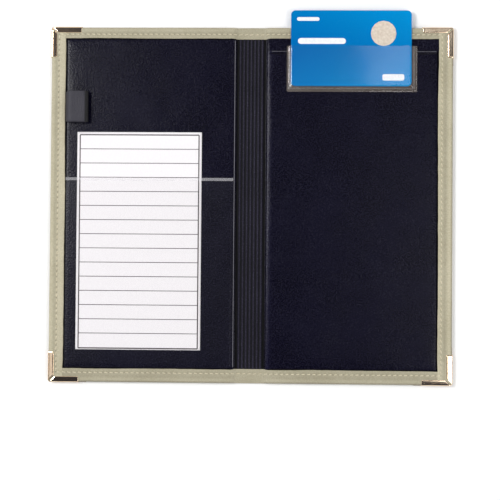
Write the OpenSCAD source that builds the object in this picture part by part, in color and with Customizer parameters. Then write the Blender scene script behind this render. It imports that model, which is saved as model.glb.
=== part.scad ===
// Check presenter: a restaurant bill folder with two stiff covers, a soft ribbed spine,
// turned and stitched edges, pockets, a pen loop and pressed metal corners.
// It lies open on its covers with the lining up. +X points to the back cover, +Y to the
// top edge and +Z up. X = 0 is the middle of the spine, Z = 0 the surface it lies on, and
// Y = 0 the middle of the whole length, with the card that stands out at the top edge.

/* [Folder] */
// Width of the open folder over its metal corners
open_w = 287; // [275:1:310]
// Height of the folder over its metal corners
folder_h = 254; // [246:1:280]
// Thickness of the leatherette skin
skin_t = 0.8; // [0.6:0.1:1]
// Thickness of the stiff board in each cover
board_t = 1.6; // [1.2:0.1:2]
// Thickness of the lining sheet
lining_t = 0.3; // [0.2:0.05:0.4]

/* [Turned edges] */
// Width of the turned skin along the side edges
trim_side = 10.4; // [9:0.1:12]
// Width of the turned skin along the top edge
trim_top = 8.2; // [7:0.1:11]
// Width of the turned skin along the bottom edge
trim_bottom = 10; // [9:0.1:12]
// Thickness of the turned skin
trim_t = 0.7; // [0.5:0.1:0.8]
// Distance of the front cover's side seam from the turned skin's inner edge
front_seam_in = 4.7; // [2:0.1:6]
// Distance of every other seam from the turned skin's inner edge
seam_in = 2.9; // [2:0.1:4]
// Width of a line of stitches
thread_w = 0.6; // [0.4:0.1:0.8]
// Thickness of the stitches, which lie sunk in the turned skin
thread_t = 0.2; // [0.15:0.05:0.3]

/* [Spine] */
// Number of ribs pressed in the spine
rib_count = 7; // [5:2:9]
// Distance from one rib to the next
rib_pitch = 2.6; // [2.4:0.1:3]
// Height of a rib over the lining
rib_h = 0.7; // [0.4:0.1:0.7]
// Flat margin of the spine beside each cover's board
spine_margin = 2.6; // [2:0.1:4]

/* [Metal corners] */
// Thickness of the corner's sheet metal
metal_t = 0.4; // [0.3:0.05:0.5]
// Length of each leg of the corner's outer plate
plate_leg = 27.5; // [24:0.5:30]
// Width of the outer plate's band
plate_band = 6.2; // [5:0.1:8]
// Length of each inner tab, from the corner to its far end
tab_leg = 22; // [18:0.5:24]
// Width of each inner tab
tab_w = 3.6; // [2:0.1:4]
// Depth that the tabs are pressed into the turned skin
tab_sink = 0.35; // [0.3:0.01:0.4]
// Outer radius of the corner
corner_r = 2; // [1.5:0.1:3]

/* [Pockets] */
// Height of a pocket panel's raised middle over its sewn border
panel_rise = 0.7; // [0.6:0.1:0.8]
// Width of the groove between a panel's raised middle and the turned skin
panel_groove = 0.8; // [0.6:0.1:1.2]
// Distance of the back pocket's mouth from the top edge
back_mouth_drop = 17; // [15:0.5:25]
// Distance of the clear check pocket's mouth from the bottom edge
check_mouth = 146; // [120:1:160]
// Thickness of the clear film
film_t = 0.2; // [0.15:0.05:0.25]
// Width of the card pocket
card_pocket_w = 92.4; // [91:0.2:95]
// Height of the card pocket
card_pocket_h = 32.8; // [28:0.2:36]
// Distance of the card pocket's left edge from the spine's middle
card_pocket_x = 25.2; // [20:0.2:30]
// Distance of the card pocket's mouth from the top edge
card_mouth_drop = 13.4; // [10:0.2:18]
// Width of the card pocket's side welds
card_weld = 2.6; // [2:0.1:2.8]
// Width of the card pocket's bottom weld
card_weld_bottom = 3.6; // [2:0.1:4]

/* [Pen loop] */
// Width of the loop's strip, along the pen
loop_w = 22; // [16:0.5:26]
// Reach of the loop from the turned skin's inner edge
loop_reach = 17.4; // [14:0.1:20]
// Clear height inside the loop
loop_clear = 4.25; // [4.2:0.05:4.6]
// Thickness of the strip
loop_t = 0.4; // [0.3:0.05:0.5]
// Distance of the loop's upper end from the top edge
loop_drop = 46.7; // [40:0.5:60]

/* [Card and check] */
// Width of the payment card
card_w = 85.6; // [85.6:0.1:85.7]
// Height of the payment card
card_h = 53.98; // [53.98:0.01:54]
// Thickness of the payment card
card_t = 0.76; // [0.6:0.02:0.8]
// Corner radius of the payment card
card_r = 3.18; // [2.9:0.02:3.5]
// Width of the guest check
check_w = 89; // [80:0.5:100]
// Height of the guest check
check_h = 155; // [140:0.5:160]
// Thickness of the guest check
check_t = 0.2; // [0.1:0.05:0.2]
// Distance of the guest check from the folder's left edge
check_x_in = 19.6; // [16:0.2:24]
// Distance of the guest check from the folder's bottom edge
check_y_in = 23.5; // [12:0.5:26]

/* [Hidden] */
$fn = 48;
joint_gap = 0.06;      // clearance between neighbouring spine links
slip = 0.1;            // clearance round what slides in a pocket
play = 0.2;            // play of a board and a lining inside their skin
pocket_gap = 0.15;     // height of the flat pocket behind a panel
border_t = 0.2;        // thickness of a panel's sewn border
thread_proud = 0.05;   // height of the stitches over the turned skin
film_border = 1.5;     // width of the check pocket's sealed border
panel_weld = 2;        // width of the weld round a flat pocket
card_lift = 0.4;       // clearance under the card in its pocket
mitre_gap = 0.8;       // half gap between a metal corner's two tabs
loop_lift = 0.45;      // height of the pen loop over the panel, so that the check passes under it

// Heights of the layers, from the table up
skin_z = metal_t;
board_z = skin_z + skin_t;
lining_z = board_z + board_t;
border_z = lining_z + lining_t;
turned_z = border_z + border_t;
top_z = turned_z + trim_t;
panel_z = turned_z + panel_rise;
hinge_z = skin_z + skin_t / 2;
spine_turned_z = board_z + lining_t;
spine_top_z = spine_turned_z + trim_t;

// Places across the folder, on the back cover's side
hinge_x = rib_pitch * rib_count / 2;
cover_x = hinge_x + joint_gap / 2;
board_x = hinge_x + spine_margin;
step_x = board_x - lining_t;
window_x = open_w / 2 - trim_side;
panel_x = window_x - panel_groove;
edge_x = open_w / 2 - metal_t;
inner_x = edge_x - skin_t;

// Places along the folder
card_pocket_in = folder_h - card_mouth_drop - card_pocket_h;
card_in = card_pocket_in + card_weld_bottom + card_lift;
card_rise = card_in + card_h - folder_h;
bottom_y = -(folder_h + card_rise) / 2;
top_y = bottom_y + folder_h;
inner_y0 = bottom_y + metal_t + skin_t;
inner_y1 = top_y - metal_t - skin_t;
window_y0 = bottom_y + trim_bottom;
window_y1 = top_y - trim_top;
panel_y0 = window_y0 + panel_groove;
panel_y1 = window_y1 - panel_groove;
mouth_y = top_y - back_mouth_drop;

// Lower left corner of the card pocket, and the underside of the card in it
card_pocket_low = [card_pocket_x, bottom_y + card_pocket_in, panel_z];
card_z = panel_z + film_t + slip;

// Spine: its links share the half turn of the fold, and their sides slope to clear each other
mid_link = (rib_count + 1) / 2;
mitre = 180 / (rib_count + 1) / 2 + 1;
function link_x(k) = (k - mid_link) * rib_pitch;
function slope(z) = max(0, z - hinge_z) * tan(mitre);
function link_side(z) = (rib_pitch - joint_gap) / 2 - slope(z);

// A box between two opposite corners
module block(low, high) translate(low) cube(high - low);

// An outline in X and Z, drawn out along Y
module along_y(y0, y1) translate([0, y1, 0]) rotate([90, 0, 0]) linear_extrude(y1 - y0) children();

// Parts are drawn on the back cover, and at its top edge
module on_front() mirror([1, 0, 0]) children();
module at_bottom() translate([0, bottom_y + top_y, 0]) mirror([0, 1, 0]) children();

// Plan of the corner square of side leg at the folder's top corner, set in from its edges
module corner_square(leg, inset, r) {
    x1 = open_w / 2 - inset;
    y1 = top_y - inset;
    x0 = open_w / 2 - leg;
    y0 = top_y - leg;
    translate([x0, y0]) square([x1 - r - x0, y1 - y0]);
    translate([x0, y0]) square([x1 - x0, y1 - r - y0]);
    translate([x1 - r, y1 - r]) circle(r);
}

// Plan of the two tabs of a metal corner, with mitred ends
module tabs_plan() {
    module side_tab() polygon([
        [0, -corner_r], [0, -tab_leg], [-tab_w, -tab_leg + tab_w / 8], [-tab_w, -tab_w - mitre_gap]
    ]);
    translate([open_w / 2, top_y]) {
        side_tab();
        mirror([1, -1]) side_tab();
    }
}

// Plan of the line of stitches round the turned edges, with its side seam seam away from the window
module seam_plan(seam) {
    x1 = window_x + seam + thread_w / 2;
    y0 = window_y0 - seam_in - thread_w / 2;
    y1 = window_y1 + seam_in + thread_w / 2;
    difference() {
        translate([step_x, y0]) square([x1 - step_x, y1 - y0]);
        translate([0, y0 + thread_w]) square([x1 - thread_w, y1 - y0 - 2 * thread_w]);
    }
}

// Leatherette of one cover, turned over the edges of the board and stepped down to the spine
module cover_skin(seam) color([0.68, 0.65, 0.53]) difference() {
    intersection() {
        along_y(bottom_y + metal_t, top_y - metal_t) polygon([
            [cover_x, skin_z], [edge_x, skin_z], [edge_x, top_z], [step_x - trim_t, top_z],
            [step_x - trim_t, spine_top_z], [cover_x + slope(spine_top_z), spine_top_z], [cover_x, hinge_z]
        ]);
        linear_extrude(top_z) {
            corner_square(folder_h / 2 + 1, metal_t, corner_r - metal_t);
            translate([0, bottom_y + top_y]) mirror([0, 1])
                corner_square(folder_h / 2 + 1, metal_t, corner_r - metal_t);
            translate([0, bottom_y + metal_t]) square([open_w / 4, folder_h - 2 * metal_t]);
        }
    }
    along_y(inner_y0, inner_y1) polygon([
        [0, board_z], [inner_x, board_z], [inner_x, turned_z], [step_x, turned_z],
        [step_x, spine_turned_z], [0, spine_turned_z]
    ]);
    block([0, window_y0, board_z], [window_x, window_y1, top_z]);
    translate([0, 0, top_z + thread_proud - thread_t]) linear_extrude(thread_t) seam_plan(seam);
    translate([0, 0, top_z - tab_sink]) linear_extrude(metal_t) {
        tabs_plan();
        translate([0, bottom_y + top_y]) mirror([0, 1]) tabs_plan();
    }
}

// Stiff board of one cover
module cover_board() color([0.62, 0.52, 0.40])
    block([board_x, inner_y0 + play, board_z], [inner_x - play, inner_y1 - play, lining_z]);

// Lining of one cover, stepped down over the board's edge to the spine
module cover_lining() color([0.09, 0.09, 0.13]) along_y(inner_y0 + play, inner_y1 - play) polygon([
    [cover_x + play, board_z], [board_x, board_z], [board_x, lining_z], [inner_x - play, lining_z],
    [inner_x - play, border_z], [step_x, border_z], [step_x, spine_turned_z],
    [cover_x + play, spine_turned_z]
]);

// Front panel: a raised sheet in a sewn border, whose flat pocket opens towards the spine
module front_pocket_panel() color([0.12, 0.12, 0.16]) difference() {
    union() {
        block([step_x, inner_y0 + play, border_z], [inner_x - play, inner_y1 - play, turned_z]);
        block([step_x, panel_y0, border_z], [panel_x, panel_y1, panel_z]);
    }
    block([0, panel_y0 + panel_weld, 0],
          [panel_x - panel_weld, panel_y1 - panel_weld, border_z + pocket_gap]);
}

// Back panel: the same, with its mouth towards the top edge
module back_pocket_panel() color([0.10, 0.10, 0.14]) difference() {
    union() {
        block([step_x, inner_y0 + play, border_z], [inner_x - play, mouth_y, turned_z]);
        block([step_x, panel_y0, border_z], [panel_x, mouth_y, panel_z]);
    }
    block([step_x + panel_weld, panel_y0 + panel_weld, 0],
          [panel_x - panel_weld, top_y, border_z + pocket_gap]);
}

// Line of stitches round the three turned edges of one cover
module stitching(seam) color([0.80, 0.76, 0.62])
    translate([0, 0, top_z + thread_proud - thread_t]) linear_extrude(thread_t) seam_plan(seam);

// Pressed corner: outer plate, walls round the edge and two inner tabs
module metal_corner() color([0.72, 0.58, 0.42]) {
    wall_leg = tab_leg + 0.3;
    linear_extrude(metal_t) difference() {
        corner_square(plate_leg, 0, corner_r);
        translate([open_w / 2 - plate_leg - 1, top_y - plate_leg - 1]) square(plate_leg + 1 - plate_band);
    }
    linear_extrude(top_z + metal_t - tab_sink) difference() {
        corner_square(wall_leg, 0, corner_r);
        corner_square(wall_leg + 1, metal_t, corner_r - metal_t);
    }
    translate([0, 0, top_z - tab_sink]) linear_extrude(metal_t) tabs_plan();
}

// Leatherette of spine link k, turned over at the top and bottom edges
module spine_skin(k) color([0.68, 0.65, 0.53]) translate([link_x(k), 0, 0]) difference() {
    along_y(bottom_y + metal_t, top_y - metal_t) polygon([
        [-link_side(skin_z), skin_z], [link_side(skin_z), skin_z], [link_side(hinge_z), hinge_z],
        [link_side(spine_top_z), spine_top_z], [-link_side(spine_top_z), spine_top_z],
        [-link_side(hinge_z), hinge_z]
    ]);
    block([-rib_pitch, window_y0, board_z], [rib_pitch, window_y1, spine_top_z]);
    block([-rib_pitch, inner_y0, board_z], [rib_pitch, inner_y1, spine_turned_z]);
}

// Lining of spine link k, with its rounded rib
module spine_lining(k) color([0.07, 0.07, 0.10]) translate([link_x(k), 0, 0]) {
    rib_r = link_side(spine_top_z) * 0.75;
    along_y(inner_y0 + play, inner_y1 - play) polygon([
        [-link_side(board_z), board_z], [link_side(board_z), board_z],
        [link_side(spine_turned_z), spine_turned_z], [-link_side(spine_turned_z), spine_turned_z]
    ]);
    along_y(window_y0, window_y1) intersection() {
        translate([0, spine_turned_z + rib_h - rib_r]) circle(rib_r);
        translate([-rib_r, board_z]) square([2 * rib_r, top_z]);
    }
}

// Outline of the pen loop's ring, or of its hollow at inset loop_t
module loop_outline(low, high, inset) {
    r = (high - low) / 2;
    x0 = window_x - loop_reach + r;
    x1 = window_x - slip - r;
    for (x = [x0, x1]) translate([x, low + r]) circle(r - inset);
    translate([x0, low + inset]) square([x1 - x0, 2 * (r - inset)]);
}

// Pen loop: a flattened ring of strip that stands in the groove beside the turned side edge
module pen_loop() color([0.16, 0.16, 0.19]) {
    low = panel_z + loop_lift;
    high = low + loop_clear + 2 * loop_t;
    along_y(top_y - loop_drop - loop_w, top_y - loop_drop) difference() {
        union() {
            loop_outline(low, high, 0);
            translate([window_x - slip - loop_t, turned_z]) square([loop_t, (low + high) / 2 - turned_z]);
        }
        loop_outline(low, high, loop_t);
    }
}

// Clear pocket over the lower part of the front panel, open towards the top edge
module check_pocket_film() color([0.85, 0.88, 0.92, 0.3]) {
    low = [step_x + panel_groove, panel_y0 + slip, panel_z];
    film_z = panel_z + check_t + 2 * slip;
    difference() {
        block(low, [panel_x - 2 * slip, bottom_y + check_mouth, film_z + film_t]);
        block([low.x + film_border, low.y + film_border, 0],
              [panel_x - 2 * slip - film_border, top_y, film_z]);
    }
}

// Card pocket on the back panel: the back sheet, and the front sheet welded to it on three sides
module card_pocket_backing() color([0.55, 0.55, 0.58, 0.5])
    translate(card_pocket_low) cube([card_pocket_w, card_pocket_h, film_t]);

module card_pocket_film() color([0.88, 0.92, 0.96, 0.3]) difference() {
    hollow_z = card_z + card_t + slip;
    translate(card_pocket_low + [0, 0, film_t])
        cube([card_pocket_w, card_pocket_h, hollow_z - panel_z]);
    block([card_pocket_x + card_weld, card_pocket_low.y + card_weld_bottom, 0],
          [card_pocket_x + card_pocket_w - card_weld, top_y, hollow_z]);
}

// Payment card of the standard size, standing in its pocket
module payment_card() color([0.05, 0.45, 0.78])
    translate([card_pocket_x + card_weld + 2 * slip, bottom_y + card_in, card_z]) linear_extrude(card_t) {
        translate([card_r, 0]) square([card_w - 2 * card_r, card_h]);
        translate([0, card_r]) square([card_w, card_h - 2 * card_r]);
        for (x = [card_r, card_w - card_r], y = [card_r, card_h - card_r]) translate([x, y]) circle(card_r);
    }

// Guest check: a paper slip behind the clear film
module guest_check() color([0.95, 0.93, 0.94])
    translate([open_w / 2 - check_x_in - check_w, bottom_y + check_y_in, panel_z + slip])
        cube([check_w, check_h, check_t]);

on_front() cover_skin(front_seam_in);  // front_cover_skin
on_front() cover_board();  // front_board
on_front() cover_lining();  // front_lining
on_front() front_pocket_panel();
on_front() stitching(front_seam_in);  // front_stitching
on_front() metal_corner();  // front_top_corner
on_front() at_bottom() metal_corner();  // front_bottom_corner
on_front() pen_loop();
on_front() check_pocket_film();
on_front() guest_check();
cover_skin(seam_in);  // back_cover_skin
cover_board();  // back_board
cover_lining();  // back_lining
back_pocket_panel();
stitching(seam_in);  // back_stitching
metal_corner();  // back_top_corner
at_bottom() metal_corner();  // back_bottom_corner
card_pocket_backing();
card_pocket_film();
payment_card();
for (k = [1:rib_count]) {
    spine_skin(k);
    spine_lining(k);
}
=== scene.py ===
import math

import bmesh
import bpy
import numpy as np
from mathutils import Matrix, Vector

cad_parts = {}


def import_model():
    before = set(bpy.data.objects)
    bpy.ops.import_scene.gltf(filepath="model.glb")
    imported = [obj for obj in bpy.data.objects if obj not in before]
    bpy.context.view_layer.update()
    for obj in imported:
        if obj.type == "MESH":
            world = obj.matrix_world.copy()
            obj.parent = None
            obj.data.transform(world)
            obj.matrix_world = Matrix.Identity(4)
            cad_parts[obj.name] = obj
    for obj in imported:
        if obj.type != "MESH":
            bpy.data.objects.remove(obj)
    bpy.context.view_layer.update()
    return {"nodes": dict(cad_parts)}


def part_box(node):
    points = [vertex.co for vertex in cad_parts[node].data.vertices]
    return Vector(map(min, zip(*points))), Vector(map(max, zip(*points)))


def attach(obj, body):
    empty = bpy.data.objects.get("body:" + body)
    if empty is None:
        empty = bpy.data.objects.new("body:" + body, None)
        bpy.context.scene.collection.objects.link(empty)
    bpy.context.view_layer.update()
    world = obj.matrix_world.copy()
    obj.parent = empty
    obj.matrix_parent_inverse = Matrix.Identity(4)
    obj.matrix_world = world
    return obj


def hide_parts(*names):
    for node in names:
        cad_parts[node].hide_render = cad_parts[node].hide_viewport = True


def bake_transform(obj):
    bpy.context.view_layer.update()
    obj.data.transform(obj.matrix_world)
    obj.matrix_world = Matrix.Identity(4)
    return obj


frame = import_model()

MM = 0.001


# ---- places, from the frame
def span(node):
    """Lowest and highest corner of a CAD node, in millimetres."""
    low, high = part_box(node)
    return np.array(low) / MM, np.array(high) / MM


skin_low, skin_high = span("back_cover_skin")
corner_high = span("back_top_corner")[1]
panel_low, panel_high = span("back_pocket_panel")
lining_z = span("back_lining")[1][2]
film_low, film_high = span("check_pocket_film")
pocket_low, pocket_high = span("card_pocket_film")
backing_low, backing_high = span("card_pocket_backing")
card_low, card_high = span("payment_card")
check_low, check_high = span("guest_check")
loop_low, loop_high = span("pen_loop")

EDGE_X = corner_high[0]  # outside of the metal, on the back cover
EDGE_TOP = corner_high[1]
EDGE_BOTTOM = span("back_bottom_corner")[0][1]
METAL_T = EDGE_X - skin_high[0]
METAL_TOP = corner_high[2]

LINK_COUNT = 7
LINK_PITCH = (span("spine_skin_5")[0][0] + span("spine_skin_5")[1][0]) / 2
SPINE_END = LINK_PITCH * (LINK_COUNT + 1) / 2  # where the spine's leather meets a cover's

TRIM_SIDE, TRIM_TOP, TRIM_BOTTOM = 10.4, 8.2, 10.0  # turned edges, from the metal's outside
WINDOW_X = EDGE_X - TRIM_SIDE
WINDOW_Y0 = EDGE_BOTTOM + TRIM_BOTTOM
WINDOW_Y1 = EDGE_TOP - TRIM_TOP
TOP_Z = skin_high[2]
SKIN_Z = skin_low[2]
SPINE_Z = span("spine_skin_4")[1][2]
RIB_BED_Z = SPINE_Z - 0.7  # low places between the ribs
RAMP_X, RAMP_W = SPINE_END - 1.6, 4.6  # slope from the spine up on to a cover
SKIN_R = 1.6  # plan radius of the leather's corners
ROLL_R = 1.3  # rounding of the folded edge
SEAM_IN = 2.9  # seam from the turned edge's inner side
BACK_SEAM_IN, FRONT_SEAM_IN = 2.3, 4.7  # the same on the two side edges
STITCH_PITCH = 3.8
STITCH_LEN = 2.7
STITCH_SINK = 0.34  # how far the stitches' bed lies under the leather's top
SPINE_STITCHES = 5
SPINE_STITCH_PITCH = 3.9
SPINE_STITCH_LEN = 2.8
SKIN_T = 0.8
TUCK = 1.5  # how far linings go in under the turned edges
CARD_R = 3.18  # corner radius of a card of the standard size

TAB_LEG, TAB_W = 22.0, 4.2  # length and width of a metal corner's tabs
TAB_PRESS = 0.65  # how far the tabs press the leather down
SPINE_FLEX = 0.5  # how much further in the edge comes on the spine

BACK, FRONT = "back_cover", "front_cover"


# ---- small helpers
def ease(t):
    """0 below 0 and 1 above 1, with a soft rise between."""
    t = np.clip(t, 0, 1)
    return t * t * (3 - 2 * t)


def bell(distance, width):
    return np.exp(-(distance / width) ** 2)


def ripple(x, y, length, seed):
    """Smooth irregular waves of about that length, mostly from -1 to 1."""
    rng = np.random.default_rng(seed)
    total = np.zeros(np.broadcast(x, y).shape)
    count = 7
    for _ in range(count):
        angle, phase = rng.uniform(0, 2 * math.pi, 2)
        k = 2 * math.pi / (length * rng.uniform(0.7, 1.6))
        total = total + np.sin(k * (np.cos(angle) * x + np.sin(angle) * y) + phase)
    return total / count * 1.6


class Build:
    """Points and faces of one mesh, in millimetres. tone makes a point's colour lighter or darker:
    painted light and shade.
    """

    def __init__(self):
        self.points = []
        self.faces = []
        self.tones = []

    def add(self, points, tone=1.0):
        first = len(self.points)
        points = np.asarray(points, float).reshape(-1, 3)
        self.points.extend(points)
        self.tones.extend(np.broadcast_to(np.ravel(tone), len(points)))
        return first

    def grid(self, points, keep=None, loop_u=False, loop_v=False, tone=1.0):
        """Quads over points[u, v]. They face +Z where u runs along X and v along Y."""
        nu, nv = points.shape[:2]
        index = self.add(points, tone) + np.arange(nu * nv).reshape(nu, nv)
        for i in range(nu if loop_u else nu - 1):
            for j in range(nv if loop_v else nv - 1):
                if keep is None or keep(i, j):
                    a, b = (i + 1) % nu, (j + 1) % nv
                    self.faces.append((index[i, j], index[a, j], index[a, b], index[i, b]))
        return index

    def rings(self, rings, capped=True):
        """Bands between closed outlines with the same number of points, closed at both ends."""
        index = self.grid(np.array(rings), loop_v=True)
        if capped:
            self.faces.append(tuple(index[0]))
            self.faces.append(tuple(index[-1][::-1]))
        return index


def add_object(name, data):
    obj = bpy.data.objects.new(name, data)
    bpy.context.scene.collection.objects.link(obj)
    return obj


def piece(name, build, material, mirrored=False, flip=False):
    """An object from a Build. mirrored turns the back cover's shape into the front cover's."""
    points = np.array(build.points) * MM
    faces = [tuple(int(i) for i in f) for f in build.faces]
    if mirrored:
        points[:, 0] *= -1
    if mirrored != flip:
        faces = [f[::-1] for f in faces]
    mesh = bpy.data.meshes.new(name)
    mesh.from_pydata([tuple(p) for p in points], [], faces)
    mesh.attributes.new("tone", "FLOAT", "POINT").data.foreach_set("value", build.tones)
    mesh.validate()
    mesh.polygons.foreach_set("use_smooth", [True] * len(mesh.polygons))
    mesh.materials.append(material)
    mesh.update()
    obj = add_object(name, mesh)
    return obj


def round_outline(corners, radii, steps):
    """A closed outline with an arc of steps + 1 points at each corner."""
    points = []
    count = len(corners)
    for i in range(count):
        here = np.array(corners[i], float)
        back = np.array(corners[i - 1], float) - here
        on = np.array(corners[(i + 1) % count], float) - here
        back /= np.linalg.norm(back)
        on /= np.linalg.norm(on)
        half = math.acos(np.clip(back @ on, -1, 1)) / 2
        reach = radii[i] / math.tan(half)
        middle = (back + on) / np.linalg.norm(back + on)
        centre = here + middle * radii[i] / math.sin(half)
        a, b = here + back * reach - centre, here + on * reach - centre
        turn = math.atan2(a[0] * b[1] - a[1] * b[0], a @ b)
        for k in range(steps + 1):
            t = turn * k / steps
            points.append(centre + np.array([a[0] * math.cos(t) - a[1] * math.sin(t),
                                             a[0] * math.sin(t) + a[1] * math.cos(t)]))
    return np.array(points)


def rounded_box(x0, x1, y0, y1, r, steps):
    return round_outline([(x0, y0), (x1, y0), (x1, y1), (x0, y1)], [r] * 4, steps)


# ---- materials
class Shader:
    """Shorthand for a node tree that ends in one Principled shader."""

    def __init__(self, name):
        self.material = bpy.data.materials.new(name)
        self.material.use_nodes = True
        self.tree = self.material.node_tree
        self.surface = self.tree.nodes["Principled BSDF"]
        self.place = self.node("TexCoord").outputs["Object"]

    def give(self, socket, value):
        """Sets a socket to a constant, or links it to another node's output."""
        if isinstance(value, bpy.types.NodeSocket):
            self.tree.links.new(value, socket)
        else:
            socket.default_value = value

    def node(self, kind, values=None, **settings):
        made = self.tree.nodes.new("ShaderNode" + kind)
        for key, value in settings.items():
            setattr(made, key, value)
        for key, value in (values or {}).items():
            self.give(made.inputs[key], value)
        return made

    def set(self, **values):
        """Gives values to the Principled shader's own sockets."""
        for key, value in values.items():
            self.give(self.surface.inputs[key.replace("_", " ")], value)

    def noise(self, scale, detail=3.0, roughness=0.55, stretch=None):
        place = self.place
        if stretch:
            place = self.node("Mapping", {"Vector": place, "Scale": stretch}).outputs["Vector"]
        values = {"Vector": place, "Scale": scale, "Detail": detail, "Roughness": roughness}
        return self.node("TexNoise", values).outputs["Fac"]

    def cells(self, scale):
        values = {"Vector": self.place, "Scale": scale}
        return self.node("TexVoronoi", values, feature="SMOOTH_F1").outputs["Distance"]

    def ramp(self, source, stops):
        made = self.node("ValToRGB", {"Fac": source})
        elements = made.color_ramp.elements
        while len(elements) < len(stops):
            elements.new(0.5)
        for element, (place, colour) in zip(elements, stops):
            element.position = place
            element.color = (*colour, 1)
        return made.outputs["Color"]

    def math(self, operation, a, b):
        return self.node("Math", {0: a, 1: b}, operation=operation).outputs[0]

    def vector_math(self, operation, values):
        return self.node("VectorMath", values, operation=operation).outputs[0]

    def weighted(self, *parts):
        """Sum of sources, each times its weight."""
        total = None
        for source, weight in parts:
            part = self.math("MULTIPLY", source, weight)
            total = part if total is None else self.math("ADD", total, part)
        return total

    def range(self, source, low, high):
        """source, from 0 to 1, spread from low to high."""
        values = {"Value": source, "To Min": low, "To Max": high}
        return self.node("MapRange", values).outputs["Result"]

    def toned(self, colour):
        """colour times the mesh's tone."""
        tone = self.node("Attribute", attribute_name="tone").outputs["Fac"]
        return self.vector_math("SCALE", {0: colour, "Scale": tone})

    def bump(self, height, distance, strength=1.0, under=None):
        values = {"Height": height, "Distance": distance, "Strength": strength}
        if under is not None:
            values["Normal"] = under
        normal = self.node("Bump", values).outputs["Normal"]
        self.set(Normal=normal)
        return normal


def leatherette(name, dark, light, grain, depth, roughness, specular=0.35, glint_colour=None):
    """Pressed pebble grain with slow changes of tone, times the mesh's tone, which carries painted light
    and shade.
    glint_colour is added on a few pebbles as painted glints, for light that the grain catches."""
    s = Shader(name)
    pebbles = s.cells(grain)
    tone = s.weighted((s.noise(28, 3), 0.4), (s.noise(grain * 1.1, 3, 0.7), 0.6))
    colour = s.ramp(tone, [(0.38, dark), (0.62, light)])
    # Painted glints: a few pebbles made lighter, as if they caught the light
    if glint_colour:
        painted_glint_and_shade = s.ramp(s.noise(grain * 1.1, 2, 0.6), [(0.50, (0, 0, 0)), (0.74, glint_colour)])
        colour = s.vector_math("ADD", {0: colour, 1: painted_glint_and_shade})
    rough = s.weighted((s.noise(60, 2), 0.5), (pebbles, 0.5))
    fine = s.bump(s.noise(grain * 2.2, 2), depth * 0.5)
    s.bump(pebbles, depth, 0.9, fine)
    s.set(Base_Color=s.toned(colour), Roughness=s.range(rough, roughness - 0.05, roughness + 0.08),
          Specular_IOR_Level=specular)
    return s.material


def thread_material():
    s = Shader("stitch_thread")
    twist = s.noise(2200, 2, stretch=(1.0, 0.35, 1.0))
    s.bump(twist, 0.00012)
    s.set(Base_Color=s.ramp(twist, [(0.3, (0.52, 0.46, 0.31)), (0.7, (0.72, 0.66, 0.49))]),
          Roughness=0.6, Sheen_Weight=0.25, Sheen_Roughness=0.4)
    return s.material


def metal_material():
    s = Shader("corner_metal")
    scuffs = s.noise(420, 4, 0.7, stretch=(1, 1, 3))
    s.bump(scuffs, 0.000005, 0.15)
    s.set(Base_Color=s.ramp(s.noise(90, 2), [(0.35, (0.80, 0.61, 0.43)), (0.65, (0.88, 0.72, 0.54))]),
          Roughness=s.range(scuffs, 0.09, 0.13), Metallic=1.0)
    return s.material


def clear_film(name, tint, shine, haze, roughness, dark, light):
    """Clear soft sheet: what lies behind it, a mirror-like shine of that strength and some haze."""
    s = Shader(name)
    clear = s.node("BsdfTransparent", {"Color": (*tint, 1)})
    s.bump(s.noise(30, 2), 0.0001, 0.35)
    s.set(Base_Color=s.ramp(s.noise(50, 3), [(0.3, dark), (0.7, light)]),
          Roughness=s.range(s.noise(220, 3), roughness, roughness + 0.05), Metallic=1 - haze)
    share = s.range(s.noise(90, 2), shine * 0.9, shine * 1.1)
    mix = s.node("MixShader", {0: share, 1: clear.outputs[0], 2: s.surface.outputs[0]})
    s.give(s.tree.nodes["Material Output"].inputs["Surface"], mix.outputs[0])
    return s.material


def card_material():
    """Printed blue, deepest at the middle of the left edge."""
    s = Shader("card_plastic")
    split = s.node("SeparateXYZ", {0: s.place})

    def across(axis, name):
        values = {"Value": split.outputs[name], "From Min": card_low[axis] * MM,
                  "From Max": card_high[axis] * MM}
        return s.node("MapRange", values).outputs[0]

    off_middle = s.math("ABSOLUTE", s.math("SUBTRACT", across(1, "Y"), 0.5), 0)
    glow = s.weighted((across(0, "X"), 0.5), (off_middle, 0.8), (s.noise(16, 2), 0.12))
    blues = [(0.12, (0.0, 0.130, 0.40)), (0.5, (0.0, 0.17, 0.46)), (0.95, (0.0, 0.24, 0.57))]
    s.bump(s.noise(1500, 2), 0.00001, 0.4)
    s.set(Base_Color=s.ramp(glow, blues), Roughness=s.range(s.noise(500, 2), 0.22, 0.3),
          Specular_IOR_Level=0.06)
    return s.material


def print_material(name, dark, light):
    s = Shader(name)
    s.set(Base_Color=s.ramp(s.noise(700, 2), [(0.3, dark), (0.7, light)]),
          Roughness=s.range(s.noise(900, 2), 0.35, 0.5))
    return s.material


def paper_material():
    s = Shader("check_paper")
    fibres = s.noise(1800, 4, 0.7, stretch=(1, 0.4, 1))
    s.bump(fibres, 0.00003, 0.5)
    s.set(Base_Color=s.ramp(fibres, [(0.25, (0.78, 0.75, 0.77)), (0.75, (0.86, 0.835, 0.85))]),
          Roughness=0.75, Specular_IOR_Level=0.25)
    return s.material


def board_material():
    s = Shader("grey_board")
    flecks = s.noise(900, 5, 0.75)
    s.bump(flecks, 0.0001)
    s.set(Base_Color=s.ramp(flecks, [(0.3, (0.25, 0.19, 0.12)), (0.7, (0.42, 0.33, 0.22))]),
          Roughness=0.9)
    return s.material


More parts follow.
